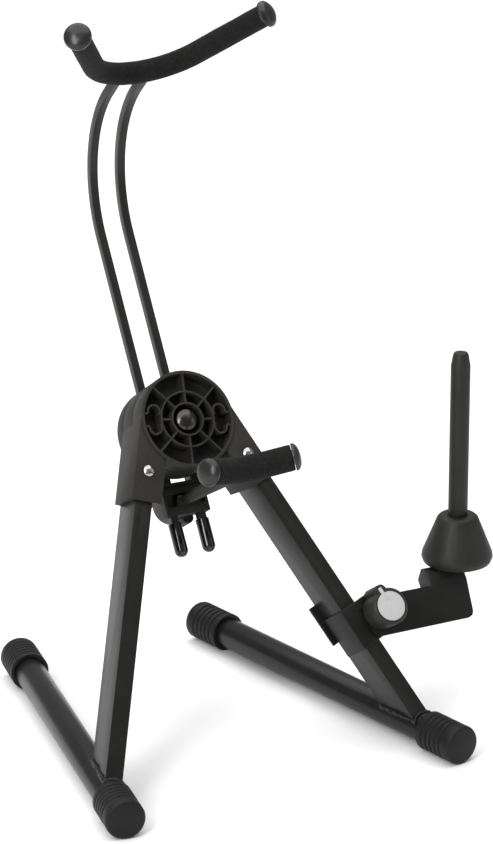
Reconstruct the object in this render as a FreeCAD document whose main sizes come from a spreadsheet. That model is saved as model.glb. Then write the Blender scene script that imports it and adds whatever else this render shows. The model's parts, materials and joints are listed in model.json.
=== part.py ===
"""Folding saxophone stand with a clarinet peg.

Frame: millimetres, +Z up, -Y is the side the player stands on, X = 0 is the middle plane.
The origin lies on the floor below the middle of the hub's front face.
The hub axle leans back: everything on it is drawn in the hub frame, where +Y runs
backwards along the axle and +Z runs up along the riser rods.
"""
import FreeCAD, Part
import math
import os
import re
import Sketcher

SIZES = {
    # stance
    "lean_angle": 32.2,
    "leg_spread": 21.5,
    "foot_toe_in": 10.7,
    "hub_height": 259.8,
    "hub_across": -36.3,
    "hub_fore": 18.3,
    # legs and feet
    "leg_half_width": 17.0,
    "leg_thickness": 14.4,
    "leg_wall": 1.5,
    "leg_front": 4.8,
    "leg_inboard": 11.7,
    "leg_inset": 2.0,
    "foot_radius": 12.7,
    "foot_wall": 1.5,
    "foot_front": 60.4,
    "foot_rear": 283.0,
    "weld_size": 2.0,
    # rubber foot caps
    "cap_wall": 3.4,
    "cap_length": 40.0,
    "cap_floor": 4.0,
    "cap_groove": 1.3,
    "cap_pitch": 5.4,
    # hub
    "hub_radius": 40.0,
    "front_half_end": 20.0,
    "washer_thickness": 1.0,
    "carrier_half": 6.0,
    "rim_wall": 2.4,
    "floor_depth": 15.0,
    "rib_thickness": 1.5,
    "rib_front": 0.8,
    "ring_gap": 2.9,
    "ring_inset": 17.2,
    "boss_radius": 8.0,
    "boss_front": 6.0,
    "curl_radius": 5.2,
    "curl_inset": 11.6,
    "curl_rise": 6.8,
    "rib_tilt": 8.0,
    "bolt_radius": 4.0,
    "bolt_fit": 0.08,
    "bolt_head_radius": 10.4,
    "bolt_head_height": 5.6,
    "nut_flats": 13.0,
    "nut_height": 6.5,
    # sockets
    "socket_below": 35.0,
    "socket_slant": 6.0,
    "socket_outer": 4.0,
    "socket_inner": 6.8,
    "socket_face": 3.0,
    "socket_back": 2.2,
    "socket_fit": 0.15,
    "turn_gap": 0.5,
    "screw_below": 10.0,
    "screw_radius": 2.0,
    "screw_head_radius": 5.2,
    "screw_head_height": 3.2,
    # riser rods
    "rod_size": 6.5,
    "rod_spacing": 24.8,
    "rod_fit": 0.1,
    "rod_below": 56.5,
    "rod_straight": 169.9,
    "bend_radius": 100.0,
    "bend_angle": 80.0,
    "rod_tail": 27.0,
    "tip_radius": 5.6,
    "tip_length": 25.0,
    # yokes
    "yoke_tube_radius": 6.0,
    "upper_foam": 9.4,
    "lower_foam": 10.8,
    "flange_radius": 11.0,
    "foam_gap": 0.05,
    "rod_gap": 0.6,
    "upper_tilt": 37.1,
    "upper_arc": 52.7,
    "upper_half_angle": 59.8,
    "upper_arm": 72.0,
    "yoke_below": 21.8,
    "lower_reach": 75.8,
    "lower_arc": 40.0,
    "lower_half_angle": 27.0,
    "lower_arm": 21.0,
    "end_cap_length": 6.0,
    "stem_below": 17.0,
    "stem_root": 4.4,
    "stem_tip": 6.8,
    # lower bracket and height clamp
    "bracket_half": 19.3,
    "bracket_gap": 2.0,
    "bracket_height": 27.0,
    "bracket_wall": 2.5,
    "bracket_depth": 12.5,
    "clamp_below": 15.5,
    "clamp_bolt": 3.0,
    "plate_gap": 0.1,
    # peg clamp and arm
    "peg_down": 215.5,
    "grip_height": 36.0,
    "grip_sheet": 2.5,
    "grip_fit": 0.1,
    "grip_lip": 5.5,
    "grip_end": 12.0,
    "jaw_rise": 14.0,
    "peg_bolt_out": 18.8,
    "arm_sheet": 2.5,
    "arm_above": 12.6,
    "arm_under": 19.8,
    "arm_start": 11.0,
    "arm_end": 84.6,
    "arm_rise": 52.4,
    # hand knobs
    "knob_radius": 15.2,
    "knob_length": 22.0,
    "knob_bore": 13.2,
    "knob_lobe": 5.0,
    "lobe_out": 14.8,
    "inlay_radius": 12.2,
    # peg
    "peg_reach": 85.6,
    "peg_back": 22.6,
    "peg_rise": 19.7,
    "cone_top_radius": 15.8,
    "cone_base_radius": 29.3,
    "cone_height": 42.0,
    "peg_radius": 8.0,
    "peg_length": 139.0,
}

# sizes that follow from two others
SUMS = {
    "inner_ring": "bolt_head_radius + ring_gap",
    "outer_ring": "hub_radius - ring_inset",
    "curl_middle": "hub_radius - curl_inset",
    "leg_offset": "hub_radius - leg_inboard",
    "leg_depth": "leg_front + leg_half_width",
    "leg_back": "leg_depth + leg_half_width",
    "leg_top": "hub_radius - leg_inset",
    "rear_half_end": "leg_back + socket_back",
    "rear_half_start": "front_half_end + washer_thickness",
    "carrier_start": "rear_half_end + washer_thickness",
    "rod_depth": "carrier_start + carrier_half",
    "carrier_end": "rod_depth + carrier_half",
    "socket_end": "hub_radius + socket_below",
    "screw_down": "hub_radius + screw_below",
    "rod_low": "hub_radius + rod_below",
    "lower_drop": "hub_radius + yoke_below",
    "stem_drop": "hub_radius + stem_below",
    "bracket_top": "hub_radius + bracket_gap",
    "bracket_bottom": "bracket_top + bracket_height",
    "bracket_end": "carrier_start + bracket_depth",
    "clamp_drop": "hub_radius + clamp_below",
}

doc = FreeCAD.newDocument("folding_saxophone_stand")
sheet = doc.addObject("Spreadsheet::Sheet", "Sizes")
for row, (word, number) in enumerate(SIZES.items(), start=1):
    sheet.set("A%d" % row, word)
    sheet.set("B%d" % row, str(number))
    sheet.setAlias("B%d" % row, word)
doc.recompute()

V = FreeCAD.Vector
nodes = []


def size(word):
    """The plain value of a sheet entry, or of two entries added or taken away."""
    if word not in SUMS:
        return float(sheet.get(word))
    first, sign, second = SUMS[word].split()
    return size(first) + size(second) if sign == "+" else size(first) - size(second)


def bound(text):
    """An expression on the sheet, written with the plain words of the size tables."""
    def on_sheet(match):
        word = match.group()
        if word in SUMS:
            return "(%s)" % bound(SUMS[word])
        return "Sizes." + word if word in SIZES else word
    return re.sub(r"[a-z][a-z_]*", on_sheet, text)


def keep(obj, label, placement):
    """Name a finished sub-part and put it in its place."""
    obj.Label = label
    obj.Placement = placement
    nodes.append(obj)
    return obj


# ---------------------------------------------------------------- frames

def turn(axis, degrees):
    return FreeCAD.Placement(V(0, 0, 0), FreeCAD.Rotation(axis, degrees))


def shift(x, y, z):
    return FreeCAD.Placement(V(x, y, z), FreeCAD.Rotation())


def radians(word):
    return math.radians(size(word))


WORLD = FreeCAD.Placement()
HUB = shift(size("hub_across"), size("hub_fore"), size("hub_height")).multiply(turn(V(1, 0, 0),
                                                                                    -size("lean_angle")))


def leg_frame(side):
    """Hub frame turned about the axle so that its Z runs up the leg (side -1 left, +1 right)."""
    return HUB.multiply(turn(V(0, 1, 0), -side * size("leg_spread")))


def leg_run():
    """Length along the leg from the axle's level down to the foot tube's axis."""
    frame = leg_frame(1)
    start = frame.multVec(V(size("leg_offset"), size("leg_depth"), 0))
    down = frame.Rotation.multVec(V(0, 0, -1))
    return (start.z - size("foot_radius") - size("cap_wall")) / -down.z


def foot_frame(side):
    """On the foot tube's axis below the leg, Y running backwards along the tube."""
    frame = leg_frame(side)
    start = frame.multVec(V(side * size("leg_offset"), size("leg_depth"), 0))
    point = start + frame.Rotation.multVec(V(0, 0, -1)) * leg_run()
    return shift(point.x, point.y, point.z).multiply(turn(V(0, 0, 1), side * size("foot_toe_in")))


# ---------------------------------------------------------------- building blocks

def box(x, y, z):
    """A block from three (low, high) pairs of expressions."""
    obj = doc.addObject("Part::Box", "block")
    for prop, axis, (low, high) in (("Length", "x", x), ("Width", "y", y), ("Height", "z", z)):
        obj.setExpression(prop, bound("(%s) - (%s)" % (high, low)))
        obj.setExpression("Placement.Base." + axis, bound(low))
    return obj


AXES = {"x": FreeCAD.Rotation(V(0, 1, 0), 90), "y": FreeCAD.Rotation(V(1, 0, 0), -90),
        "z": FreeCAD.Rotation()}


def rod(radius, along, low, high, at=("0", "0")):
    """A round bar along one axis, at the other two coordinates in x, y, z order."""
    obj = doc.addObject("Part::Cylinder", "bar")
    obj.Placement = FreeCAD.Placement(V(0, 0, 0), AXES[along])
    obj.setExpression("Radius", bound(radius))
    obj.setExpression("Height", bound("(%s) - (%s)" % (high, low)))
    spots = list(at)
    for axis in "xyz":
        value = low if axis == along else spots.pop(0)
        obj.setExpression("Placement.Base." + axis, bound(value))
    return obj


def fuse(*parts):
    obj = doc.addObject("Part::MultiFuse", "joined")
    obj.Shapes = list(parts)
    return obj


def cut(base, *tools):
    obj = doc.addObject("Part::Cut", "cut")
    obj.Base = base
    obj.Tool = tools[0] if len(tools) == 1 else fuse(*tools)
    return obj


def frozen(shape):
    """A helper solid that stands in a node's own frame."""
    obj = doc.addObject("Part::Feature", "helper")
    obj.Shape = shape
    return obj


def new_body():
    return doc.addObject("PartDesign::Body", "Body")


def sketch_on(body, role, offset="0"):
    """A sketch on one of the body's origin planes, moved along its normal."""
    plane = [f for f in body.Origin.OriginFeatures if f.Role == role][0]
    sketch = body.newObject("Sketcher::SketchObject", "Sketch")
    sketch.AttachmentSupport = [(plane, "")]
    sketch.MapMode = "FlatFace"
    sketch.setExpression("AttachmentOffset.Base.z", bound(offset))
    return sketch


def hold(sketch, kind, geo, point, text):
    """Tie one coordinate of a sketch point to the sheet."""
    index = sketch.addConstraint(Sketcher.Constraint("Distance" + kind, -1, 1, geo, point, 1.0))
    sketch.setExpression("Constraints[%d]" % index, bound(text))


def outline(sketch, points):
    """A closed straight-sided outline through points given as expression pairs."""
    spots = [(10.0 * math.cos(6.28 * i / len(points)), 10.0 * math.sin(6.28 * i / len(points)))
             for i in range(len(points))]
    first = sketch.GeometryCount
    for i in range(len(points)):
        a, b = spots[i], spots[(i + 1) % len(points)]
        sketch.addGeometry(Part.LineSegment(V(a[0], a[1], 0), V(b[0], b[1], 0)))
    for i in range(len(points)):
        after = first + (i + 1) % len(points)
        sketch.addConstraint(Sketcher.Constraint("Coincident", first + i, 2, after, 1))
    for i, (across, up) in enumerate(points):
        hold(sketch, "X", first + i, 1, across)
        hold(sketch, "Y", first + i, 1, up)


def circle(sketch, radius, across="0", up="0"):
    index = sketch.addGeometry(Part.Circle(V(1, 1, 0), V(0, 0, 1), 5.0))
    hold(sketch, "X", index, 3, across)
    hold(sketch, "Y", index, 3, up)
    number = sketch.addConstraint(Sketcher.Constraint("Radius", index, 5.0))
    sketch.setExpression("Constraints[%d]" % number, bound(radius))


def pad(body, sketch, length, reverse=False):
    feature = body.newObject("PartDesign::Pad", "Pad")
    feature.Profile = sketch
    feature.setExpression("Length", bound(length))
    feature.Reversed = reverse
    return feature


def revolve(body, sketch, axis="V_Axis"):
    feature = body.newObject("PartDesign::Revolution", "Revolution")
    feature.Profile = sketch
    feature.ReferenceAxis = (sketch, [axis])
    feature.Angle = 360.0
    return feature


def spun(points):
    """A (radius, height) outline spun about the Z axis."""
    body = new_body()
    sketch = sketch_on(body, "XZ_Plane")
    outline(sketch, points)
    revolve(body, sketch)
    return body


def turned(label, placement, points):
    return keep(spun(points), label, placement)


def tilted(block, placement):
    """A block carried in a group, so that it can be turned as well as sized."""
    group = doc.addObject("Part::Compound", "tilted")
    group.Links = [block]
    group.Placement = placement
    return group


# ---------------------------------------------------------------- legs and feet

def leg_tube(side, name):
    """Rectangular steel tube: top end in the socket, lower end saddled over the foot tube."""
    centre = "leg_offset" if side > 0 else "-leg_offset"
    reach = "%.4f" % (1 - leg_run())

    def bar(inset):
        across = ("%s - leg_thickness / 2 + %s" % (centre, inset),
                  "%s + leg_thickness / 2 - %s" % (centre, inset))
        return box(across, ("leg_front + " + inset, "leg_back - " + inset), (reach, "-leg_top"))

    foot = foot_frame(side)
    run = Part.makeCylinder(size("foot_radius"), 120, V(0, -60, 0), V(0, 1, 0))
    run = run.fuse(Part.makeBox(120, 120, 60, V(-60, -60, -60)))
    run.Placement = leg_frame(side).inverse().multiply(foot)
    saddle = frozen(run)
    tube = cut(bar("0"), bar("leg_wall"), saddle, screw_bore(side))
    return keep(tube, name + "_leg_tube", leg_frame(side))


def weld_bead(side, name):
    """Collar of weld metal around the leg where it stands on the foot tube."""
    frame = leg_frame(side).inverse().multiply(foot_frame(side))
    bead = size("weld_size")
    width, thick = 2 * size("leg_half_width"), size("leg_thickness")
    centre = side * size("leg_offset")

    def column(extra):
        corner = V(centre - thick / 2 - extra, size("leg_front") - extra, -leg_run() - 2)
        return Part.makeBox(thick + 2 * extra, width + 2 * extra, 60, corner)

    def run(extra):
        shape = Part.makeCylinder(size("foot_radius") + extra, 120, V(0, -60, 0), V(0, 1, 0))
        shape.Placement = frame
        return shape

    upper = Part.makeBox(200, 200, 30, V(-100, -100, 0))
    upper.Placement = frame
    shape = column(bead).common(run(bead)).common(upper).cut(column(0)).cut(run(0))
    return keep(frozen(shape.Solids[0]), name + "_weld_bead", leg_frame(side))


def foot_tube(side, name):
    body = new_body()
    sketch = sketch_on(body, "XZ_Plane", "foot_front - cap_floor")
    circle(sketch, "foot_radius")
    circle(sketch, "foot_radius - foot_wall")
    pad(body, sketch, "foot_front + foot_rear - 2 * cap_floor", reverse=True)
    return keep(body, name + "_foot_tube", foot_frame(side))


def foot_cap(side, name, end):
    """Ribbed rubber cap: a closed sleeve with five grooves behind a smooth round-edged nose."""
    outer = "(foot_radius + cap_wall)"
    points = [("0", "0"), (outer + " - 2.4", "0"), (outer + " - 0.7", "0.7"), (outer, "2.4")]
    for ring in range(5):
        low = "cap_length - 2.4 - %d * cap_pitch" % (5 - ring)
        points.append((outer, low))
        points.append((outer + " - cap_groove", low + " + 0.5"))
        points.append((outer + " - cap_groove", low + " + 1.5"))
        points.append((outer, low + " + 2.0"))
    points += [(outer, "cap_length"), ("foot_radius", "cap_length"), ("foot_radius", "cap_floor"),
               ("0", "cap_floor")]
    frame = foot_frame(side)
    if end == "front":
        spot = frame.multiply(shift(0, -size("foot_front"), 0)).multiply(turn(V(1, 0, 0), -90))
    else:
        spot = frame.multiply(shift(0, size("foot_rear"), 0)).multiply(turn(V(1, 0, 0), 90))
    return turned("%s_%s_foot_cap" % (name, end), spot, points)


# ---------------------------------------------------------------- hub

def socket_block(side):
    """The sleeve that takes the leg, in the leg's own frame; its mouth is cut a little aslant."""
    inner = "leg_offset - leg_thickness / 2 - socket_inner"
    outer = "leg_offset + leg_thickness / 2 + socket_outer"
    across = (inner, outer) if side > 0 else ("-(%s)" % outer, "-(%s)" % inner)
    block = box(across, ("leg_front - socket_face", "rear_half_end - 0.2"), ("-socket_end", "-6"))
    wedge = box(("-leg_offset * 2", "leg_offset * 2"), ("0", "leg_back * 2"), ("-12", "0"))
    mouth = shift(0, size("leg_front") - size("socket_face"), -size("socket_end"))
    return cut(block, tilted(wedge, mouth.multiply(turn(V(1, 0, 0), size("socket_slant")))))


def socket_bore(side):
    fit = "socket_fit"
    low, high = "leg_offset - leg_thickness / 2 - " + fit, "leg_offset + leg_thickness / 2 + " + fit
    across = (low, high) if side > 0 else ("-(%s)" % high, "-(%s)" % low)
    return box(across, ("leg_front - " + fit, "leg_back + " + fit), ("-socket_end - 1", "-leg_top + 0.5"))


def screw_bore(side):
    centre = "leg_offset" if side > 0 else "-leg_offset"
    return rod("screw_radius", "y", "-1", "leg_depth", (centre, "-screw_down"))


def ring_wall(radius):
    low, high = "rib_front", "floor_depth + 0.5"
    return cut(rod("%s + rib_thickness / 2" % radius, "y", low, high),
               rod("%s - rib_thickness / 2" % radius, "y", low + " - 1", high + " + 1"))


def rib(degrees, start, end):
    """A straight radial wall of the front lattice, between two radii."""
    block = box((start, end), ("rib_front + 0.3", "floor_depth + 0.5"),
                ("-rib_thickness / 2", "rib_thickness / 2"))
    return tilted(block, turn(V(0, 1, 0), degrees + size("rib_tilt") - size("leg_spread")))


def bent_wall(radius, x, z, start, sweep):
    """An arc of thin wall standing on the disc's floor, drawn about the axis at x, z."""
    low, half = size("rib_front") + 0.3, size("rib_thickness") / 2
    height = size("floor_depth") + 0.5 - low
    solid = Part.makeCylinder(radius + half, height, V(0, 0, 0), V(0, 0, 1), sweep)
    solid = solid.cut(Part.makeCylinder(radius - half, height, V(0, 0, 0), V(0, 0, 1), sweep))
    solid.Placement = shift(x, low, z).multiply(turn(V(1, 0, 0), -90)).multiply(turn(V(0, 0, 1), start))
    return solid


def curl(side, swing):
    """Half of a side pocket: a hooked wall from the outer ring round to the rim."""
    middle, rise, radius = size("curl_middle"), size("curl_rise"), size("curl_radius")
    rim = math.sqrt((size("hub_radius") - size("rim_wall")) ** 2 - rise ** 2)
    hook = (rim - middle - radius) / 2
    big = bent_wall(radius, middle, -rise, 0, 215)
    small = bent_wall(hook, middle + radius + hook, -rise, 180, 180)
    shape = big.fuse(small)
    if swing < 0:
        shape = shape.mirror(V(0, 0, 0), V(0, 0, 1))
    if side < 0:
        shape = shape.mirror(V(0, 0, 0), V(1, 0, 0))
    shape.rotate(V(0, 0, 0), V(0, 1, 0), size("rib_tilt") - size("leg_spread"))
    return frozen(shape)


def left_hub_half():
    """Front half: ribbed disc with the left socket."""
    side = -1
    disc = rod("hub_radius", "y", "0", "front_half_end")
    clear = rod("hub_radius + turn_gap", "y", "front_half_end", "rear_half_end + 2")
    socket = cut(socket_block(side), clear)
    hollow = rod("hub_radius - rim_wall", "y", "-1", "floor_depth")
    shell = cut(fuse(disc, socket), hollow)
    ribs = [ring_wall("inner_ring"), ring_wall("outer_ring"),
            rod("boss_radius", "y", "boss_front", "floor_depth + 0.5")]
    for step in range(8):
        ribs.append(rib(45 * step, "inner_ring", "outer_ring"))
    for angle in (45, 90, 135, 225, 270, 315):
        ribs.append(rib(angle, "outer_ring", "hub_radius - rim_wall + 0.5"))
    for pocket in (-1, 1):
        for swing in (-1, 1):
            ribs.append(curl(pocket, swing))
    through = rod("bolt_radius + bolt_fit", "y", "-2", "front_half_end + 2")
    half = cut(fuse(shell, *ribs), through, socket_bore(side), screw_bore(side))
    return keep(half, "left_hub_half", leg_frame(side))


def right_hub_half():
    """Rear half: plain disc with the right socket, which reaches forward beside the front disc."""
    side = 1
    disc = rod("hub_radius", "y", "rear_half_start", "rear_half_end")
    clear = rod("hub_radius + turn_gap", "y", "-2", "rear_half_start")
    socket = cut(socket_block(side), clear)
    through = rod("bolt_radius + bolt_fit", "y", "0", "rear_half_end + 2")
    half = cut(fuse(disc, socket), through, socket_bore(side), screw_bore(side))
    return keep(half, "right_hub_half", leg_frame(side))


ROD_SIDES = (("left", "-"), ("right", ""))


def rod_bores(low, high, extra):
    """Square passages for the two riser rods."""
    bores = []
    for _, sign in ROD_SIDES:
        middle = "%srod_spacing / 2" % sign
        half = "(rod_size / 2 + %s)" % extra
        bores.append(box(("%s - %s" % (middle, half), "%s + %s" % (middle, half)),
                         ("rod_depth - " + half, "rod_depth + " + half), (low, high)))
    return bores


ROD_INSIDE = "(rod_spacing / 2 - rod_size / 2 - rod_fit)"


def rod_carrier():
    """Rear disc of the hub, fixed on the axle; the riser rods slide down through it."""
    disc = rod("hub_radius", "y", "carrier_start", "carrier_end")
    through = rod("bolt_radius", "y", "carrier_start - 1", "carrier_end + 1")
    notch = box(("-" + ROD_INSIDE, ROD_INSIDE), ("carrier_start - 1", "carrier_end + 1"),
                ("-hub_radius - 1", "-hub_radius + 5.5"))
    part = cut(disc, through, notch, *rod_bores("-hub_radius - 1", "hub_radius + 1", "rod_fit"))
    return keep(part, "rod_carrier", HUB)


def pivot_bolt():
    """Axle bolt with a broad domed head on the front boss."""
    radius, tall = "bolt_head_radius", "bolt_head_height"
    head = "boss_front - washer_thickness"
    dome = [("0", head + " - " + tall)]
    for share, drop in ((0.3, 0.965), (0.55, 0.85), (0.77, 0.62), (0.92, 0.36), (1, 0)):
        dome.append(("%s * %g" % (radius, share), "%s - %s * %g" % (head, tall, drop)))
    length = "(carrier_end + nut_height + 4)"
    return turned("pivot_bolt", HUB.multiply(turn(V(1, 0, 0), -90)),
                  dome + [("bolt_radius", head), ("bolt_radius", length), ("0", length)])


def flat_ring(outer, low, high):
    return cut(rod(outer, "y", low, high), rod("bolt_radius", "y", low + " - 1", high + " + 1"))


def hub_washers():
    """Head washer and the two friction washers, one group of separate rings on the axle."""
    rings = doc.addObject("Part::Compound", "rings")
    rings.Links = [flat_ring("bolt_head_radius", "boss_front - washer_thickness", "boss_front"),
                   flat_ring("boss_radius + 5", "front_half_end", "rear_half_start"),
                   flat_ring("boss_radius + 5", "rear_half_end", "carrier_start")]
    return keep(rings, "hub_washers", HUB)


def hexagon(flats, low, high, hole):
    """A hexagon nut along the frame's Y axis."""
    body = new_body()
    sketch = sketch_on(body, "XZ_Plane", "-(%s)" % low)
    corner = "%s / sqrt(3)" % flats
    outline(sketch, [("%s * cos(%d)" % (corner, a), "%s * sin(%d)" % (corner, a)) for a in range(0, 360,
                                                                                                 60)])
    circle(sketch, hole)
    pad(body, sketch, "(%s) - (%s)" % (high, low), reverse=True)
    return body


def pivot_nut():
    return keep(hexagon("nut_flats", "carrier_end", "carrier_end + nut_height", "bolt_radius"),
                "pivot_nut", HUB)


def socket_screw(side, name):
    """Domed screw through the socket face into the tube's narrow wall."""
    face = size("leg_front") - size("socket_face")
    spot = leg_frame(side).multiply(shift(side * size("leg_offset"), face, -size("screw_down")))
    head, tall = "screw_head_radius", "screw_head_height"
    return turned(name + "_socket_screw", spot.multiply(turn(V(1, 0, 0), -90)), [
        ("0", "-" + tall), (head + " * 0.5", "-0.9 * " + tall), (head + " * 0.88", "-0.5 * " + tall),
        (head, "0"),
        ("screw_radius", "0"), ("screw_radius", "socket_face + leg_wall + 4"),
        ("0", "socket_face + leg_wall + 5")])


# ---------------------------------------------------------------- riser rods and yokes

def rod_path():
    """Straight up through the hub, bent forward in one arc, then a short straight tail."""
    back, low, high = size("rod_depth"), -size("rod_low"), size("rod_straight")
    radius, angle = size("bend_radius"), radians("bend_angle")

    def on_arc(part):
        return V(0, back - radius + radius * math.cos(part), high + radius * math.sin(part))

    end = on_arc(angle)
    tail = end + V(0, -math.sin(angle), math.cos(angle)) * size("rod_tail")
    return [Part.makeLine(V(0, back, low), V(0, back, high)),
            Part.Arc(V(0, back, high), on_arc(angle / 2), end).toShape(),
            Part.makeLine(end, tail)], tail


def swept(edges, profile):
    return Part.Wire(edges).makePipeShell([profile], True, False)


def rod_shape(sign, extra=0.0):
    edges, _ = rod_path()
    half = size("rod_size") / 2 + extra
    back, low = size("rod_depth"), -size("rod_low")
    corners = [V(-half, back - half, low), V(half, back - half, low), V(half, back + half, low),
               V(-half, back + half, low)]
    shape = swept(edges, Part.makePolygon(corners + corners[:1]))
    shape.translate(V(sign * size("rod_spacing") / 2, 0, 0))
    return shape


UPPER = HUB.multiply(shift(0, rod_path()[1].y, rod_path()[1].z)).multiply(
    turn(V(1, 0, 0), -(size("upper_tilt") - size("lean_angle"))))
LOWER = HUB.multiply(shift(0, -size("lower_reach"), -size("lower_drop")))


def yoke_path(kind):
    """Arm, arc, arm in the yoke's own plane: the cradle opens towards -Y."""
    radius, angle, arm = size(kind + "_arc"), radians(kind + "_half_angle"), size(kind + "_arm")

    def on_arc(part):
        return V(radius * math.sin(part), -radius * (1 - math.cos(part)), 0)

    def arm_end(sign):
        return on_arc(sign * angle) + V(sign * math.cos(angle), -math.sin(angle), 0) * arm

    return [Part.makeLine(arm_end(-1), on_arc(-angle)),
            Part.Arc(on_arc(-angle), V(0, 0, 0), on_arc(angle)).toShape(),
            Part.makeLine(on_arc(angle), arm_end(1))]


def yoke_bar(kind, radius):
    edges = yoke_path(kind)
    start = edges[0].Vertexes[0].Point
    heading = edges[0].Vertexes[1].Point - start
    profile = Part.Wire(Part.makeCircle(radius, start, heading))
    return swept(edges, profile)


def yoke_tube(kind, placement):
    return keep(frozen(yoke_bar(kind, size("yoke_tube_radius"))), kind + "_yoke_tube", placement)


def yoke_foam(kind, placement, clear):
    """Foam sleeve over the bent tube, notched around the pieces that hold the yoke."""
    shape = yoke_bar(kind, size(kind + "_foam")).cut(yoke_bar(kind,
                                                              size("yoke_tube_radius") + size("foam_gap")))
    for solid in clear:
        shape = shape.cut(solid)
    return keep(frozen(shape.Solids[0]), kind + "_yoke_foam", placement)


def yoke_end_cap(kind, placement, sign, name):
    """Domed plug closing one end of the yoke: flange against the foam and a rounded face."""
    edge = yoke_path(kind)[0 if sign < 0 else 2]
    points = [v.Point for v in edge.Vertexes]
    tip, heading = (points[0], points[0] - points[1]) if sign < 0 else (points[1], points[1] - points[0])
    heading.normalize()
    spot = FreeCAD.Placement(tip, FreeCAD.Rotation(V(0, 0, 1), heading))
    rim, tall = "flange_radius", "end_cap_length"
    return turned("%s_yoke_%s_cap" % (kind, name), placement.multiply(spot), [
        ("0", "0.05"), (rim, "0.05"), (rim, "2"), (rim + " * 0.9", tall + " * 0.55"),
        (rim + " * 0.7", tall + " * 0.8"), (rim + " * 0.4", tall + " * 0.96"), ("0", tall)])


def in_frame(shape, source, target):
    """The same solid, seen from another frame."""
    moved = shape.copy()
    moved.Placement = target.inverse().multiply(source).multiply(moved.Placement)
    return moved


def riser_rod(sign, name):
    tube = in_frame(yoke_bar("upper", size("yoke_tube_radius")), UPPER, HUB)
    shape = rod_shape(sign).cut(tube)
    longest = max(shape.Solids, key=lambda solid: solid.Volume)
    return keep(frozen(longest), name + "_riser_rod", HUB)


def rod_tip(sign, name):
    """Dipped vinyl tip on the rod's lower end, round-nosed."""
    middle = "rod_spacing / 2" if sign > 0 else "-rod_spacing / 2"
    sleeve = rod("tip_radius", "z", "-rod_low - 3 + tip_radius / 2", "-rod_low - 3 + tip_length",
                 (middle, "rod_depth"))
    nose = doc.addObject("Part::Sphere", "nose")
    nose.setExpression("Radius", bound("tip_radius"))
    nose.setExpression("Placement.Base.x", bound(middle))
    nose.setExpression("Placement.Base.y", bound("rod_depth"))
    nose.setExpression("Placement.Base.z", bound("-rod_low - 3 + tip_radius / 2"))
    half = "rod_size / 2"
    bar = box(("%s - %s" % (middle, half), "%s + %s" % (middle, half)),
              ("rod_depth - " + half, "rod_depth + " + half), ("-rod_low", "0"))
    return keep(cut(fuse(sleeve, nose), bar), name + "_rod_tip", HUB)


# ---------------------------------------------------------------- lower bracket and height clamp

def lower_bracket():
    """Open-fronted housing under the hub: two cheeks, a back and a floor and roof for the rods."""
    shell = box(("-bracket_half", "bracket_half"), ("carrier_start", "bracket_end"),
                ("-bracket_bottom", "-bracket_top"))
    room = box(("-bracket_half + bracket_wall", "bracket_half - bracket_wall"),
               ("carrier_start - 1", "bracket_end - bracket_wall"),
               ("-bracket_bottom + 3 * bracket_wall", "-bracket_top - bracket_wall"))
    neck = box(("-bracket_half", "bracket_half"), ("carrier_start", "carrier_end"),
               ("-bracket_top", "-hub_radius * 0.8"))
    window = box(("-" + ROD_INSIDE, ROD_INSIDE), ("carrier_start - 1", "carrier_end + 1"),
                 ("-bracket_top", "-hub_radius * 0.7"))
    hub_round = rod("hub_radius", "y", "0", "carrier_end * 2")
    bolt = rod("clamp_bolt", "y", "carrier_start", "bracket_end + 5", ("0", "-clamp_drop"))
    part = cut(fuse(shell, neck), window, hub_round, room, bolt,
               *rod_bores("-bracket_bottom - 1", "-hub_radius * 0.7", "rod_fit"))
    return keep(part, "lower_bracket", HUB)


def stem_taper(extra):
    """Tapered arm of the lower yoke in hub coordinates, fattened by the given amount."""
    root = V(0, size("carrier_start") - 1, -size("stem_drop"))
    tip = V(0, -size("lower_reach"), -size("lower_drop"))
    run = root - tip
    return Part.makeCone(size("stem_tip") + extra, size("stem_root") + extra, run.Length, tip, run)


def yoke_stem():
    """Tapered round arm that carries the lower yoke forward under the hub."""
    taper = frozen(stem_taper(0))
    tongue = box(("-" + ROD_INSIDE + " + 0.3", ROD_INSIDE + " - 0.3"),
                 ("carrier_start - 3", "carrier_start + 9"),
                 ("-bracket_bottom + 3 * bracket_wall", "-stem_drop + 1.5"))
    tube = frozen(in_frame(yoke_bar("lower", size("yoke_tube_radius")), LOWER, HUB))
    bolt = rod("clamp_bolt + 0.1", "y", "30", "70", ("0", "-clamp_drop"))
    head = rod("clamp_bolt * 2.2", "y", "carrier_start + 2.9", "80", ("0", "-clamp_drop"))
    return keep(cut(fuse(taper, tongue), tube, bolt, head), "lower_yoke_stem", HUB)


def clamp_plate():
    """Pressure plate that squeezes both rods against the back of the housing."""
    half = "bracket_half - bracket_wall - 0.3"
    low, high = "-stem_drop + 5.5", "-bracket_top - bracket_wall - 0.3"
    body = new_body()
    sketch = sketch_on(body, "XZ_Plane", "-(carrier_start + 0.3)")
    outline(sketch, [("-(%s)" % half, low), (half, low), (half, high), ("-(%s)" % half, high)])
    pad(body, sketch, "carrier_half - rod_size / 2 - plate_gap - 0.3", reverse=True)
    return keep(body, "clamp_plate", HUB)


def clamp_bolt_piece():
    start = "carrier_start + 4"
    shaft = rod("clamp_bolt", "y", start + " + 2", "bracket_end + knob_bore - 0.4", ("0", "-clamp_drop"))
    head = rod("clamp_bolt * 2", "y", start, start + " + 2", ("0", "-clamp_drop"))
    return keep(fuse(shaft, head), "height_clamp_bolt", HUB)


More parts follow.
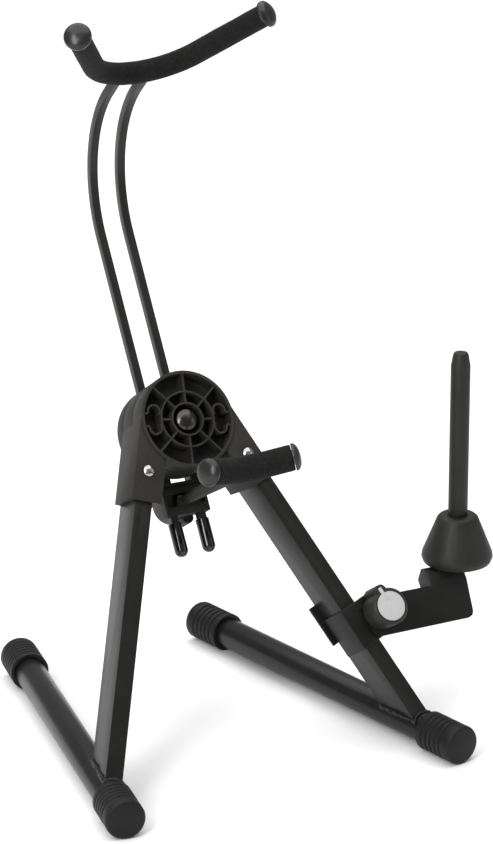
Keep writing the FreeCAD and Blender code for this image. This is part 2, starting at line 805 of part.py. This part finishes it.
def hand_knob(label, placement, slot):
    """Round hand knob with one finger lobe down its side and a shallow seat in its face."""
    rim, tall, hole = "knob_radius", "knob_length", "clamp_bolt + bolt_fit"
    body = spun([(hole, "0"), (rim + " - 1", "0"), (rim, "1"), (rim, tall + " - 1.4"),
                 (rim + " - 1.4", tall),
                 ("inlay_radius", tall), ("inlay_radius", tall + " - 1.2"), ("0", tall + " - 1.2"),
                 ("0", "knob_bore"), (hole, "knob_bore")])
    lobe = cut(rod("knob_lobe", "z", "0.6", tall + " - 0.2", ("0", "lobe_out")),
               rod("inlay_radius", "z", tall + " - 1.2", tall + " + 1"), rod(hole, "z", "0", "1"))
    knob = fuse(body, lobe)
    if slot:
        knob = cut(knob, box(("-1.6", "1.6"), ("inlay_radius - 2", "lobe_out + 2.6"),
                             (tall + " - 1.2", tall + " + 1")))
    return keep(knob, label, placement)


def height_knob():
    """The hand knob behind the housing, its face towards the back."""
    spot = HUB.multiply(shift(0, size("bracket_end") + 0.3, -size("clamp_drop"))).multiply(turn(V(1, 0, 0),
                                                                                                -90))
    return hand_knob("height_knob", spot.multiply(turn(V(0, 0, 1), -16)), False)


# ---------------------------------------------------------------- peg clamp

def grip_plate(left, depth, rise):
    """A flat jaw plate up to the clamp bolt, with a rounded end around it."""
    middle = "-peg_down + " + rise
    span = ("%s - grip_height / 2" % middle, "%s + grip_height / 2" % middle)
    flat = box((left, "leg_offset + peg_bolt_out"), depth, span)
    end = rod("grip_end", "y", depth[0], depth[1], ("leg_offset + peg_bolt_out", "-peg_down"))
    hole = rod("clamp_bolt", "y", "-20", "60", ("leg_offset + peg_bolt_out", "-peg_down"))
    return flat, end, hole, span


def peg_clamp_front():
    """Bent plate over the leg's front and inner faces, reaching outboard to the clamp bolt."""
    near = "leg_offset - leg_thickness / 2 - grip_fit"
    face = "leg_front - grip_fit"
    flat, end, hole, span = grip_plate(near + " - grip_sheet", (face + " - grip_sheet", face), "0")
    wall = box((near + " - grip_sheet", near), (face + " - 1", "leg_back - 3.5"), span)
    return keep(cut(fuse(flat, end, wall), hole), "peg_clamp_front", leg_frame(1))


def peg_clamp_rear():
    """Rear jaw: a flat plate behind the leg, set a little higher and showing past its inner side."""
    face = "leg_back + grip_fit"
    left = "leg_offset - leg_thickness / 2 - grip_lip"
    flat, end, hole, _ = grip_plate(left, (face, face + " + grip_sheet"), "jaw_rise")
    return keep(cut(fuse(flat, end), hole), "peg_clamp_rear", leg_frame(1))


def pivot_spot():
    """Where the peg arm turns: on the clamp bolt, in hub coordinates."""
    return HUB.inverse().multiply(leg_frame(1)).multVec(
        V(size("leg_offset") + size("peg_bolt_out"), 0, -size("peg_down")))


def arm_back():
    """Depth of the arm's rear face, just in front of the clamp plate."""
    return size("leg_front") - size("grip_fit") - size("grip_sheet") - 0.1


def peg_clamp_bolt():
    """Carriage bolt from the rear jaw through both plates and the arm into the knob."""
    face = "leg_back + grip_fit + grip_sheet"
    spot = ("leg_offset + peg_bolt_out", "-peg_down")
    shaft = rod("clamp_bolt", "y", "leg_front - grip_sheet - arm_sheet - knob_bore + 0.6", face + " + 0.5",
                spot)
    head = rod("clamp_bolt * 2.2", "y", face, face + " + 3", spot)
    return keep(fuse(shaft, head), "peg_clamp_bolt", leg_frame(1))


PIVOT = HUB.multVec(pivot_spot())
PEG = shift(PIVOT.x + size("peg_reach"), PIVOT.y + size("peg_back"), PIVOT.z + size("peg_rise"))


def seat_line(y):
    """Height of the cone's level seat at hub depth y, in hub coordinates."""
    seat = HUB.inverse().multVec(PEG.Base)
    return seat.z - (seat.y - y) * math.tan(radians("lean_angle"))


def sheet_piece(corners, push):
    return Part.Face(Part.makePolygon(corners + corners[:1])).extrude(push)


def peg_arm():
    """Pressed arm: front plate on the clamp bolt, a flange turned back on its left, a level seat on top."""
    spot, sheet_t = pivot_spot(), size("arm_sheet")
    y = arm_back() - sheet_t
    low, top = spot.z - size("arm_under"), spot.z + size("arm_above")
    left, rise, right = spot.x - size("arm_start"), spot.x + size("arm_rise"), spot.x + size("arm_end")
    corners = [V(left + 4, y, low), V(right - 6, y, low + 0.6), V(right - 2.6, y, low + 2),
               V(right - 1, y, low + 5),
               V(right + 0.8, y, top), V(right, y, seat_line(y)), V(rise, y, seat_line(y)), V(rise, y, top),
               V(left + 4, y, top), V(left, y, top - 6), V(left, y, low + 6)]
    plate = sheet_piece(corners, V(0, sheet_t, 0))
    wing = [V(rise, y + 1, top), V(rise, y + 20, top + 2.5), V(rise, y + 20.6, top + 9.5),
            V(rise, y + 11, seat_line(y + 11) - 1), V(rise, y + 1, seat_line(y + 1) - 1)]
    flange = sheet_piece(wing, V(sheet_t, 0, 0))
    bolt_hole = Part.makeCylinder(size("clamp_bolt") + size("bolt_fit"), 60, V(spot.x, -40, spot.z),
                                  V(0, 1, 0))
    steel = plate.fuse(flange).cut(bolt_hole)
    steel.Placement = HUB
    x, back, height = PEG.Base.x, PEG.Base.y, PEG.Base.z
    corner = HUB.multVec(V(rise, y, seat_line(y)))
    seat = Part.makeBox(x - corner.x, back - corner.y, sheet_t, V(corner.x, corner.y, height - sheet_t))
    seat = seat.fuse(Part.makeCylinder(15, sheet_t, V(x, back, height - sheet_t)))
    ahead = Part.makeBox(400, 200, 200, V(-200, -200, -400))
    ahead.translate(V(spot.x, y, 200))
    ahead.Placement = HUB.multiply(ahead.Placement)
    screw = Part.makeCylinder(size("screw_radius"), 20, V(x, back, height - 12))
    shape = steel.fuse(seat.cut(ahead)).cut(screw).removeSplitter()
    return keep(frozen(shape), "peg_arm", WORLD)


def knob_frame():
    """On the arm's front face at the clamp bolt, Z running forward along the bolt."""
    spot = pivot_spot()
    front = arm_back() - size("arm_sheet") - 0.1
    return HUB.multiply(shift(spot.x, front, spot.z)).multiply(turn(V(1, 0, 0), 90)).multiply(turn(V(0, 0,
                                                                                                     1), 22))


def peg_knob():
    return hand_knob("peg_knob", knob_frame(), True)


def knob_inlay():
    """White disc let into the knob's face, with an index bar that runs out onto the lobe."""
    tall = "knob_length"
    disc = rod("inlay_radius - 0.05", "z", tall + " - 1.2", tall + " - 0.1")
    bar = box(("-1.5", "1.5"), ("inlay_radius - 6.4", "lobe_out + 2.5"), (tall + " - 1.2", tall + " + 0.3"))
    return keep(fuse(disc, bar), "knob_inlay", knob_frame())


# ---------------------------------------------------------------- peg

def peg_cone():
    """Bell rest: a steep cone with a rounded lower rim, hollow for the peg's root."""
    return turned("peg_cone", PEG, [
        ("peg_radius - 1", "0"), ("cone_base_radius - 5", "0"), ("cone_base_radius - 1.6", "1.6"),
        ("cone_base_radius", "6"), ("cone_base_radius - 0.6", "10"),
        ("cone_top_radius + 1", "cone_height - 2.5"),
        ("cone_top_radius - 1", "cone_height - 0.6"), ("cone_top_radius - 3", "cone_height"),
        ("peg_radius - 1", "cone_height")])


def peg_post():
    """Long plain peg with a tapered, blunt tip."""
    top = "cone_height + peg_length"
    return turned("peg_post", PEG, [
        ("screw_radius", "0"), ("peg_radius - 1", "0"), ("peg_radius - 1", "cone_height"),
        ("peg_radius", "cone_height"),
        ("peg_radius", top + " - 11"), ("peg_radius - 1.6", top + " - 2"),
        ("peg_radius - 2.6", top), ("0", top), ("0", "9"), ("screw_radius", "9")])


def peg_screw():
    """Pan head screw from below the seat into the peg."""
    low = "-arm_sheet"
    return turned("peg_screw", PEG, [
        ("0", low + " - 2.6"), ("screw_radius * 1.6", low + " - 2.4"), ("screw_radius * 2.2", low + " - 1"),
        ("screw_radius * 2.2", low), ("screw_radius", low), ("screw_radius", "8"), ("0", "8.6")])


# ---------------------------------------------------------------- assembly

for side, name in ((-1, "left"), (1, "right")):
    leg_tube(side, name)
    weld_bead(side, name)
    foot_tube(side, name)
    foot_cap(side, name, "front")
    foot_cap(side, name, "rear")
    socket_screw(side, name)
    riser_rod(side, name)
    rod_tip(side, name)
left_hub_half()
right_hub_half()
rod_carrier()
pivot_bolt()
hub_washers()
pivot_nut()

yoke_tube("upper", UPPER)
rod_clear = [in_frame(rod_shape(sign, size("rod_gap")), HUB, UPPER) for sign in (-1, 1)]
yoke_foam("upper", UPPER, rod_clear)
yoke_tube("lower", LOWER)
stem_clear = in_frame(stem_taper(size("rod_gap")), HUB, LOWER)
yoke_foam("lower", LOWER, [stem_clear])
for kind, placement in (("upper", UPPER), ("lower", LOWER)):
    yoke_end_cap(kind, placement, -1, "left")
    yoke_end_cap(kind, placement, 1, "right")

lower_bracket()
yoke_stem()
clamp_plate()
clamp_bolt_piece()
height_knob()
peg_clamp_front()
peg_clamp_rear()
peg_clamp_bolt()
peg_arm()
peg_knob()
knob_inlay()
peg_cone()
peg_post()
peg_screw()
doc.recompute()

os.makedirs("parts", exist_ok=True)
for obj in doc.Objects:
    if "Invalid" in obj.State or "Error" in obj.State:
        raise RuntimeError("%s: %s" % (obj.Label, obj.State))
for obj in nodes:
    shape = obj.Shape
    if shape.isNull() or not shape.isValid() or not shape.Solids:
        raise RuntimeError("%s has no valid solid" % obj.Label)
    shape.exportStep("parts/%s.step" % obj.Label)
    print("%-24s solids %d volume %.0f" % (obj.Label, len(shape.Solids), shape.Volume))
print(len(nodes), "nodes")
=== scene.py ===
# %% [markdown]
# # A folding saxophone stand
# The stand is black all over: powder-coated steel tube for the legs and feet, moulded nylon for the hub
# and its sockets, foam on the two yokes, rubber on the feet. With so little colour the object is told
# by its surfaces, so most of this lesson is about roughness, grain and rounded edges. The machined
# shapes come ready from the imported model, which is loaded as a fixed frame. Nothing in it is moved.

# %% Load the frame
import math
import json

import bmesh
import bpy
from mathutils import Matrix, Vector, noise


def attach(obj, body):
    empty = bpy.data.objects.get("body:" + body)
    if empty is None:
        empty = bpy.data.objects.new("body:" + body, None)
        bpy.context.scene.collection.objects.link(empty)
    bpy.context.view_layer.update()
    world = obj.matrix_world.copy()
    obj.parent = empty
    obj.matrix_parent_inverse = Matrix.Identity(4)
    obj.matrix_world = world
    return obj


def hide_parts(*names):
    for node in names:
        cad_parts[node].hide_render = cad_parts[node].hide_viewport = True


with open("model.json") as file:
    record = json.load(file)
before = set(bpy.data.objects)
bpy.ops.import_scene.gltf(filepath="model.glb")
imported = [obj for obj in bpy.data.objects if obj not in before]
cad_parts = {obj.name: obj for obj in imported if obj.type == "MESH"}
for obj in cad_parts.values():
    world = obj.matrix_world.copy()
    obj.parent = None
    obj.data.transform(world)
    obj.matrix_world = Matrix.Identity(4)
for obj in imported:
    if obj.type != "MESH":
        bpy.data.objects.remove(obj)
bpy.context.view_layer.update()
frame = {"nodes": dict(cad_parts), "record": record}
nodes = frame["nodes"]
body_of_node = {n: b for b, members in frame["record"]["behaviour"]["bodies"].items() for n in members}
slot_of_node = {s["node"]: s["material_slot"] for s in frame["record"]["subparts"]}

# %% [markdown]
# ## Finishes
# Every finish is a Principled shader fed by small procedural patterns. Object coordinates are in metres
# here, so a pattern scale of 1000 gives grains one millimetre across, and the grain sits still on the
# piece when it turns. A shared helper makes the parts that all finishes need: a grain that varies the
# colour, a grain that varies the roughness, and a fine bump. The finishes differ in the numbers, which
# keeps the family look of one product.

# %% A helper for grained finishes
def link(tree, source, target):
    tree.links.new(source, target)


PATCHES_PER_METRE = 35.0
GRAIN_DEPTH = 0.0002


def grained(name, dark, light, rough, grain, bump, metal=0.0, coat=0.0, specular=0.5):
    finish = bpy.data.materials.new(name)
    finish.use_nodes = True
    tree = finish.node_tree
    shader = tree.nodes["Principled BSDF"]
    shader.inputs["Metallic"].default_value = metal
    shader.inputs["Coat Weight"].default_value = coat
    shader.inputs["Coat Roughness"].default_value = 0.15
    shader.inputs["Specular IOR Level"].default_value = specular
    place = tree.nodes.new("ShaderNodeTexCoord")
    patches = tree.nodes.new("ShaderNodeTexNoise")
    patches.inputs["Scale"].default_value = PATCHES_PER_METRE
    patches.inputs["Detail"].default_value = 4.0
    grains = tree.nodes.new("ShaderNodeTexNoise")
    grains.inputs["Scale"].default_value = grain
    grains.inputs["Detail"].default_value = 3.0
    both = tree.nodes.new("ShaderNodeMix")
    both.inputs["Factor"].default_value = 0.55
    tint = tree.nodes.new("ShaderNodeValToRGB")
    tint.color_ramp.elements[0].position = 0.36
    tint.color_ramp.elements[0].color = (*dark, 1)
    tint.color_ramp.elements[1].position = 0.64
    tint.color_ramp.elements[1].color = (*light, 1)
    sheen = tree.nodes.new("ShaderNodeMapRange")
    sheen.inputs["To Min"].default_value = rough[0]
    sheen.inputs["To Max"].default_value = rough[1]
    relief = tree.nodes.new("ShaderNodeBump")
    relief.inputs["Strength"].default_value = bump
    relief.inputs["Distance"].default_value = GRAIN_DEPTH
    for pattern in (patches, grains):
        link(tree, place.outputs["Object"], pattern.inputs["Vector"])
    link(tree, patches.outputs["Fac"], both.inputs["A"])
    link(tree, grains.outputs["Fac"], both.inputs["B"])
    link(tree, both.outputs["Result"], tint.inputs["Fac"])
    link(tree, tint.outputs["Color"], shader.inputs["Base Color"])
    link(tree, patches.outputs["Fac"], sheen.inputs["Value"])
    link(tree, sheen.outputs["Result"], shader.inputs["Roughness"])
    link(tree, grains.outputs["Fac"], relief.inputs["Height"])
    link(tree, relief.outputs["Normal"], shader.inputs["Normal"])
    return finish


def grey(value, warmth=0.0):
    return (value * (1 + warmth), value, value * (1 - warmth))


# %% [markdown]
# The numbers below read like a paint list. Powder coat has a faint orange-peel and a soft gloss. Nylon
# is moulded in a spark-eroded tool, so it is duller and its grain is coarser. Rubber is duller still.
# Vinyl dip and the end plugs are the only glossy blacks on the stand.

# %% The paint list
finishes = {
    "leg_coat": grained("leg_powder_coat", grey(0.007, 0.05), grey(0.012, 0.05), (0.28, 0.40), 700, 0.12,
                        specular=0.26),
    "foot_coat": grained("foot_powder_coat", grey(0.005, 0.04), grey(0.009, 0.04), (0.24, 0.34), 700, 0.12,
                         specular=0.28),
    "rod_coat": grained("rod_powder_coat", grey(0.008, 0.05), grey(0.014, 0.05), (0.28, 0.38), 800, 0.12,
                        specular=0.30),
    "bracket_coat": grained("bracket_powder_coat", grey(0.005, 0.05), grey(0.010, 0.05), (0.36, 0.50), 800,
                            0.14, specular=0.20),
    "hub_nylon": grained("moulded_nylon", grey(0.013, 0.06), grey(0.022, 0.06), (0.48, 0.62), 1100, 0.32,
                         specular=0.26),
    "peg_plastic": grained("grained_peg_plastic", grey(0.009, 0.05), grey(0.018, 0.05), (0.42, 0.56), 1300,
                           0.45, specular=0.26),
    "knob_plastic": grained("knob_plastic", grey(0.014, 0.05), grey(0.022, 0.05), (0.42, 0.54), 1200, 0.25,
                            specular=0.26),
    "cap_rubber": grained("cap_rubber", grey(0.005, 0.04), grey(0.009, 0.04), (0.46, 0.62), 900, 0.35,
                          specular=0.22),
    "plug_plastic": grained("end_plug_plastic", grey(0.010, 0.04), grey(0.016, 0.04), (0.24, 0.32), 900,
                            0.06, specular=0.40),
    "vinyl_tip": grained("dipped_vinyl", grey(0.003), grey(0.005), (0.07, 0.13), 300, 0.05, coat=0.5,
                         specular=0.3),
    "bright_screw": grained("bright_screw", grey(0.36), grey(0.40), (0.14, 0.19), 300, 0.02, metal=1.0),
    "black_hardware": grained("blackened_steel", grey(0.05, 0.03), grey(0.07, 0.03), (0.18, 0.26), 900, 0.06,
                              metal=1.0),
    "white_disc": grained("white_knob_disc", grey(0.41), grey(0.45), (0.34, 0.42), 900, 0.03, specular=0.3),
    "black_foam": None,
}
print(len(finishes), "finishes")

# %% [markdown]
# ## Foam
# The yokes wear slit foam tube, the kind sold for handlebars: closed-cell, so the skin is matte and
# full of pinholes rather than furry. Two cell patterns are combined for its relief, a fine one for the
# skin and a sparse one for the larger burst cells, and the same patterns darken the pits as painted
# shade. A little sheen stands for the loose fibres of dust that make foam look paler at grazing angles.

# %% The foam finish
def foam_finish():
    finish = bpy.data.materials.new("closed_cell_foam")
    finish.use_nodes = True
    tree = finish.node_tree
    shader = tree.nodes["Principled BSDF"]
    shader.inputs["Specular IOR Level"].default_value = 0.10
    shader.inputs["Sheen Weight"].default_value = 0.03
    shader.inputs["Sheen Roughness"].default_value = 0.5
    place = tree.nodes.new("ShaderNodeTexCoord")
    cells = tree.nodes.new("ShaderNodeTexVoronoi")
    cells.inputs["Scale"].default_value = 900.0
    burst = tree.nodes.new("ShaderNodeTexVoronoi")
    burst.inputs["Scale"].default_value = 330.0
    wear = tree.nodes.new("ShaderNodeTexNoise")
    wear.inputs["Scale"].default_value = 60.0
    wear.inputs["Detail"].default_value = 5.0
    pits = tree.nodes.new("ShaderNodeMath")
    pits.operation = "MULTIPLY"
    tint = tree.nodes.new("ShaderNodeValToRGB")
    tint.color_ramp.elements[0].color = (0.006, 0.006, 0.006, 1)
    tint.color_ramp.elements[1].color = (0.013, 0.0125, 0.012, 1)
    tint.color_ramp.elements[1].position = 0.55
    dull = tree.nodes.new("ShaderNodeMapRange")
    dull.inputs["To Min"].default_value = 0.78
    dull.inputs["To Max"].default_value = 0.98
    relief = tree.nodes.new("ShaderNodeBump")
    relief.inputs["Strength"].default_value = 0.35
    relief.inputs["Distance"].default_value = 0.0006
    for pattern in (cells, burst, wear):
        link(tree, place.outputs["Object"], pattern.inputs["Vector"])
    link(tree, cells.outputs["Distance"], pits.inputs[0])
    link(tree, burst.outputs["Distance"], pits.inputs[1])
    # painted shade: the deeper a pit sinks in the relief, the darker its colour
    link(tree, pits.outputs["Value"], tint.inputs["Fac"])
    link(tree, tint.outputs["Color"], shader.inputs["Base Color"])
    link(tree, wear.outputs["Fac"], dull.inputs["Value"])
    link(tree, dull.outputs["Result"], shader.inputs["Roughness"])
    link(tree, pits.outputs["Value"], relief.inputs["Height"])
    link(tree, relief.outputs["Normal"], shader.inputs["Normal"])
    return finish


finishes["black_foam"] = foam_finish()

# %% [markdown]
# ## Rounded edges
# A machined solid has mathematically sharp edges, and nothing real does: drawn tube has a corner
# radius, moulded plastic has a tool radius. The bright line down the corner of a leg is only the light
# caught by that radius. So each hard sub-part is copied, its coplanar triangles are joined back into
# faces, and its sharp edges get a small bevel of their own size. The copy then stands in for the
# sub-part and rides on the same body.

# %% A helper that softens a sub-part
SAME_POINT = 2e-6
SAME_FACE = math.radians(0.6)
CORNER = math.radians(32)
SHADED_CORNER = math.radians(38)
SMALL_EDGE = 0.0003


def softened(node, radius):
    mesh = bpy.data.meshes.new(node + "_soft")
    work = bmesh.new()
    work.from_mesh(nodes[node].data)
    bmesh.ops.remove_doubles(work, verts=work.verts, dist=SAME_POINT)
    bmesh.ops.dissolve_limit(work, angle_limit=SAME_FACE, verts=work.verts, edges=work.edges)
    corners = [e for e in work.edges if len(e.link_faces) == 2 and e.calc_face_angle(0.0) > CORNER]
    bmesh.ops.bevel(work, geom=corners, offset=radius, segments=3, profile=0.5, affect="EDGES",
                    clamp_overlap=True)
    work.to_mesh(mesh)
    work.free()
    mesh.polygons.foreach_set("use_smooth", [True] * len(mesh.polygons))
    mesh.set_sharp_from_angle(angle=SHADED_CORNER)
    piece = bpy.data.objects.new(node + "_piece", mesh)
    bpy.context.collection.objects.link(piece)
    mesh.materials.append(finishes[slot_of_node[node]])
    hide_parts(node)
    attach(piece, body_of_node[node])
    return piece


# %% Soften the hard parts
edge_radius = {
    "leg_tube": 0.0016, "foot_tube": 0.0005, "foot_cap": 0.0006, "hub_half": 0.0007, "rod_carrier": 0.0012,
    "riser_rod": 0.0008, "rod_tip": 0.0004, "socket_screw": 0.0003, "bracket": 0.0007, "stem": 0.001,
    "clamp": 0.0006, "peg_arm": 0.0007, "knob": 0.0006, "cone": 0.0008, "post": 0.0005,
}
for node in nodes:
    if node.endswith("_foam") or node.endswith("_weld_bead"):
        continue
    radius = next((r for word, r in edge_radius.items() if word in node), SMALL_EDGE)
    softened(node, radius)

# %% [markdown]
# ## Foam sleeves
# The sleeve's own solid gives the place and size. Remeshing it in small voxels makes an even skin,
# which noise can then push in and out by a few tenths of a millimetre, so that the outline is slightly
# uneven as cut foam is.

# %% Lay the foam on the yokes
def even_skin(node, name, voxel, rounds):
    piece = bpy.data.objects.new(name, nodes[node].data.copy())
    bpy.context.collection.objects.link(piece)
    bpy.context.view_layer.objects.active = piece
    remesh = piece.modifiers.new("even_skin", "REMESH")
    remesh.mode = "VOXEL"
    remesh.voxel_size = voxel
    if rounds:
        settle = piece.modifiers.new("settle", "SMOOTH")
        settle.factor = 0.5
        settle.iterations = rounds
    graph = bpy.context.evaluated_depsgraph_get()
    piece.data = bpy.data.meshes.new_from_object(piece.evaluated_get(graph))
    piece.modifiers.clear()
    piece.data.polygons.foreach_set("use_smooth", [True] * len(piece.data.polygons))
    piece.data.materials.clear()
    piece.data.materials.append(finishes[slot_of_node[node]])
    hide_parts(node)
    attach(piece, body_of_node[node])
    return piece


FOAM_UNEVEN = 0.00045


def foam_sleeve(node):
    piece = even_skin(node, node + "_sleeve", voxel=0.0016, rounds=3)
    for vertex in piece.data.vertices:
        push = noise.noise(vertex.co * 90) * 0.7 + noise.noise(vertex.co * 420) * 0.3
        vertex.co -= vertex.normal * (0.5 + 0.5 * push) * FOAM_UNEVEN
    print(node, len(piece.data.vertices), "points")


for node in ("upper_yoke_foam", "lower_yoke_foam"):
    foam_sleeve(node)

# %% [markdown]
# ## Weld beads
# A weld under powder coat still shows its ripples. The bead's solid is remeshed finely and swollen in a
# row of lumps, with the same coat as the tube it joins.

# %% Ripple the welds
WELD_LUMP = 0.0011


def weld(node):
    piece = even_skin(node, node + "_rippled", voxel=0.0006, rounds=0)
    for vertex in piece.data.vertices:
        lump = noise.noise(vertex.co * 190) + 0.4 * noise.noise(vertex.co * 520)
        vertex.co += vertex.normal * (WELD_LUMP * lump)


for side in ("left", "right"):
    weld(side + "_weld_bead")

# %% [markdown]
# ## Floor and light
# A black object needs something bright to reflect. A ceiling panel as wide as a small room lights the
# paper floor evenly and draws a broad highlight on everything that faces up. A tall panel on the left
# gives the side faces of the legs their sheen, a narrow one on the right keeps the far side readable,
# and a dim world fills the rest.

# %% Floor
def floor_finish():
    finish = bpy.data.materials.new("studio_paper")
    finish.use_nodes = True
    tree = finish.node_tree
    shader = tree.nodes["Principled BSDF"]
    shader.inputs["Roughness"].default_value = 0.9
    fibres = tree.nodes.new("ShaderNodeTexNoise")
    fibres.inputs["Scale"].default_value = 14.0
    tint = tree.nodes.new("ShaderNodeValToRGB")
    tint.color_ramp.elements[0].color = (0.90, 0.90, 0.90, 1)
    tint.color_ramp.elements[1].color = (0.93, 0.93, 0.93, 1)
    link(tree, fibres.outputs["Fac"], tint.inputs["Fac"])
    link(tree, tint.outputs["Color"], shader.inputs["Base Color"])
    return finish


floor_mesh = bpy.data.meshes.new("studio_floor")
reach = 12.0
floor_mesh.from_pydata([(-reach, -reach, 0), (reach, -reach, 0), (reach, reach, 0), (-reach, reach, 0)], [],
                       [(0, 1, 2, 3)])
floor = bpy.data.objects.new("studio_floor", floor_mesh)
floor_mesh.materials.append(floor_finish())
bpy.context.collection.objects.link(floor)

# %% World and lamps
world = bpy.data.worlds.new("studio")
world.use_nodes = True
world.node_tree.nodes["Background"].inputs["Color"].default_value = (1, 1, 1, 1)
world.node_tree.nodes["Background"].inputs["Strength"].default_value = 0.36
bpy.context.scene.world = world


def panel(name, place, aim, size, power):
    lamp = bpy.data.lights.new(name, "AREA")
    lamp.shape = "RECTANGLE"
    lamp.size, lamp.size_y = size
    lamp.energy = power
    holder = bpy.data.objects.new(name, lamp)
    holder.location = place
    holder.rotation_euler = (Vector(aim) - Vector(place)).to_track_quat("-Z", "Y").to_euler()
    bpy.context.collection.objects.link(holder)
    return holder


panel("ceiling_panel", (0.0, 0.9, 3.4), (0, 0.9, 0), (5.5, 5.5), 190)
panel("key_panel", (-2.0, -1.3, 1.5), (0, 0, 0.3), (0.9, 1.8), 46)
panel("fill_panel", (1.9, -1.5, 0.9), (0.1, 0, 0.2), (0.7, 1.6), 4)
bpy.context.scene.view_settings.view_transform = "Standard"

# %% Camera
eye_turn, eye_rise, eye_far = math.radians(27.76), math.radians(19.26), 3.08212
aim = Vector((0.01645, 0.0183, 0.24822))
toward = Vector((-math.sin(eye_turn) * math.cos(eye_rise), -math.cos(eye_turn) * math.cos(eye_rise),
                 math.sin(eye_rise)))
camera = bpy.data.cameras.new("studio_camera")
camera.sensor_width = 36.0
camera.lens = 36.0 * 3811.08 / 844
camera_object = bpy.data.objects.new("studio_camera", camera)
camera_object.location = aim + toward * eye_far
camera_object.rotation_mode = "QUATERNION"
camera_object.rotation_quaternion = (-toward).to_track_quat("-Z", "Y")
bpy.context.collection.objects.link(camera_object)
bpy.context.scene.camera = camera_object
